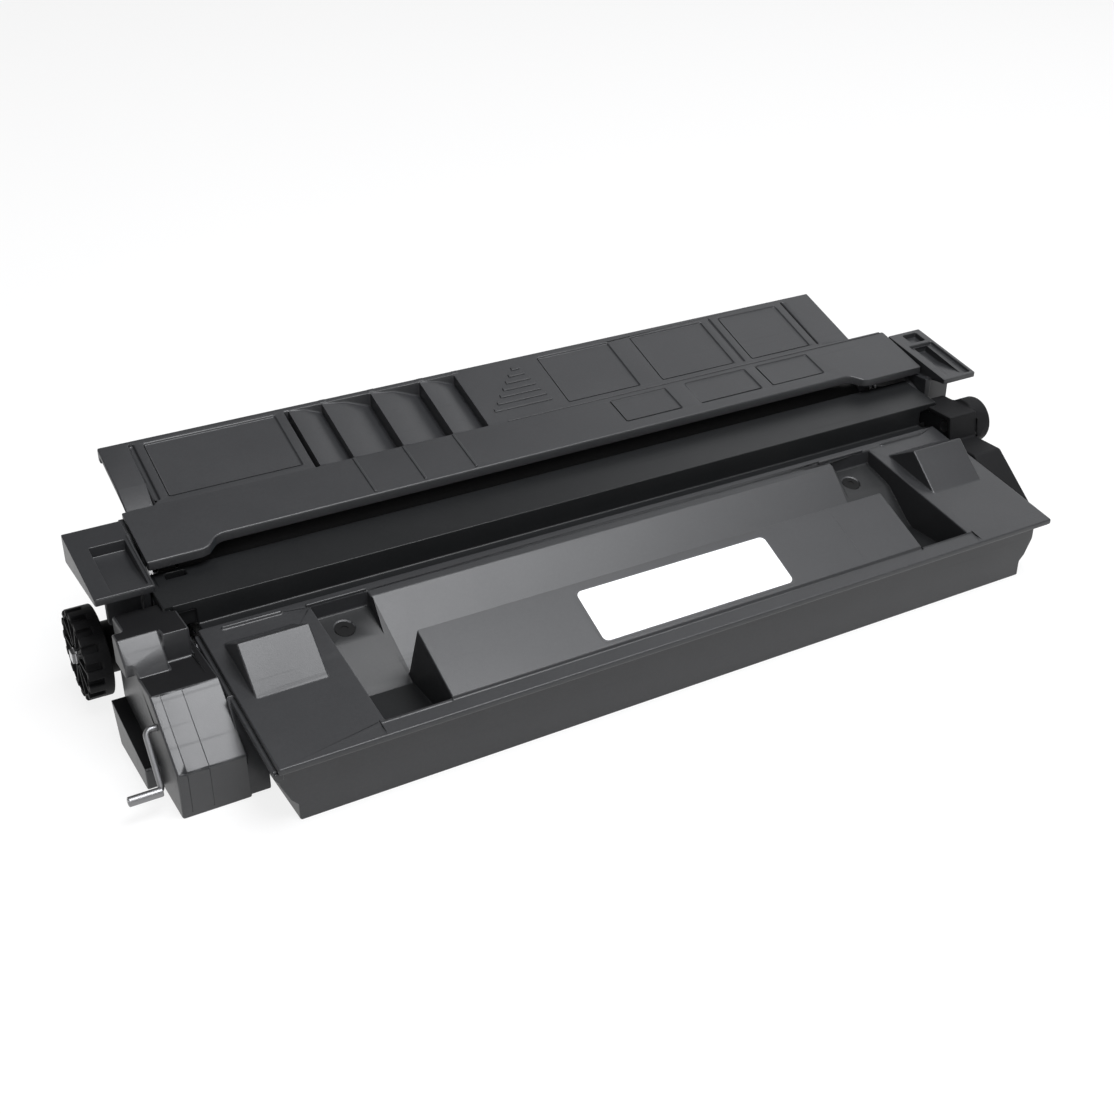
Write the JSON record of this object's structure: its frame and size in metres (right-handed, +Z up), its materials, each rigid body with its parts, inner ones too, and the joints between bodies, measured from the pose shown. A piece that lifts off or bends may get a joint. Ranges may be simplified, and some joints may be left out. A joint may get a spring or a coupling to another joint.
{
  "type": "toner cartridge",
  "caption": "Wide all-in-one toner cartridge: sloping waste-bin cover, hopper with finger trough and grip wedge, guide ears, end hubs, drum and drum shutter.",
  "frame": {"origin": "on the table under the middle of the cartridge", "axes": "+X along the cartridge towards the geared end, +Y from the hopper lip towards the waste bin, +Z up"},
  "size_m": [0.412, 0.1544, 0.0755],
  "materials": {
    "housing": "satin, fine grain",
    "end_parts": "satin, fine grain",
    "shutter_plastic": "satin",
    "gears": "natural plastic",
    "bushes": "low-friction plastic",
    "drum_coating": "glossy coating",
    "roller_rubber": "smooth rubber",
    "sleeve_metal": "bead-blasted",
    "magnet": "bonded magnet",
    "steel": "plated",
    "label": "blank label",
    "film": "thin film",
    "felt": "felt"
  },
  "bodies": {
    "frame": {"waste_bin": "housing", "waste_bin_cover": "housing", "left_side_cover": "end_parts", "right_side_cover": "end_parts", "left_hub": "end_parts", "right_hub": "end_parts", "drum_pins": "steel", "charge_saddles": "bushes", "charge_springs": "steel", "wiper_blade": "roller_rubber", "wiper_bracket": "steel", "wiper_screws": "steel", "scoop_seal": "film", "hopper_shell": "housing", "fill_plug": "housing", "hopper_cover": "housing", "hopper_label": "label", "developer_frame": "housing", "sleeve_bushes": "bushes", "end_seals": "felt", "magnet_core": "magnet", "doctor_blade": "roller_rubber", "doctor_bracket": "steel", "doctor_screws": "steel", "idler_stud": "steel", "left_end_cap": "end_parts", "right_end_cap": "end_parts", "section_pins": "steel", "shutter_spring": "steel", "cover_screws": "steel", "hub_screws": "steel", "bias_contact": "steel", "drum_ground_contact": "steel"},
    "drum": {"drum_tube": "drum_coating", "drum_flange": "gears", "drum_gear": "gears"},
    "sleeve": {"developer_sleeve": "sleeve_metal", "sleeve_collars": "bushes", "sleeve_gear": "gears"},
    "charge_roller": {"charge_shaft": "steel", "charge_rubber": "roller_rubber"},
    "idler": {"idler_gear": "gears"},
    "agitator": {"agitator_shaft": "bushes", "agitator_blade": "film", "agitator_gear": "gears"},
    "shutter": {"shutter_panel": "shutter_plastic", "shutter_rear_panel": "shutter_plastic", "shutter_wire_left": "steel", "shutter_wire_right": "steel"}
  },
  "joints": [
    {"name": "drum_spin", "type": "hinge", "parent": "frame", "child": "drum", "pos_m": [0, 0.032, 0.0195], "axis": [1, 0, 0], "continuous": true},
    {"name": "sleeve_spin", "type": "hinge", "parent": "frame", "child": "sleeve", "pos_m": [0, 0.00689, 0.02393], "axis": [1, 0, 0], "continuous": true},
    {"name": "charge_roller_spin", "type": "hinge", "parent": "frame", "child": "charge_roller", "pos_m": [0, 0.04096, 0.03871], "axis": [1, 0, 0], "continuous": true},
    {"name": "idler_spin", "type": "hinge", "parent": "frame", "child": "idler", "pos_m": [0, -0.00908, 0.02496], "axis": [1, 0, 0], "continuous": true},
    {"name": "agitator_spin", "type": "hinge", "parent": "frame", "child": "agitator", "pos_m": [0, -0.02015, 0.01341], "axis": [1, 0, 0], "continuous": true},
    {"name": "shutter_swing", "type": "hinge", "parent": "frame", "child": "shutter", "pos_m": [0, -0.034, 0.0256], "axis": [1, 0, 0], "range_deg": [-25, 0], "stiffness_Nm_per_rad": 0.06, "springref_deg": 40.11}
  ],
  "couplings": [
    {"joint": "sleeve_spin", "follows": "drum_spin", "ratio": -1.55},
    {"joint": "idler_spin", "follows": "drum_spin", "ratio": 2.5833},
    {"joint": "agitator_spin", "follows": "drum_spin", "ratio": -1.55},
    {"joint": "charge_roller_spin", "follows": "drum_spin", "ratio": -2.5}
  ]
}
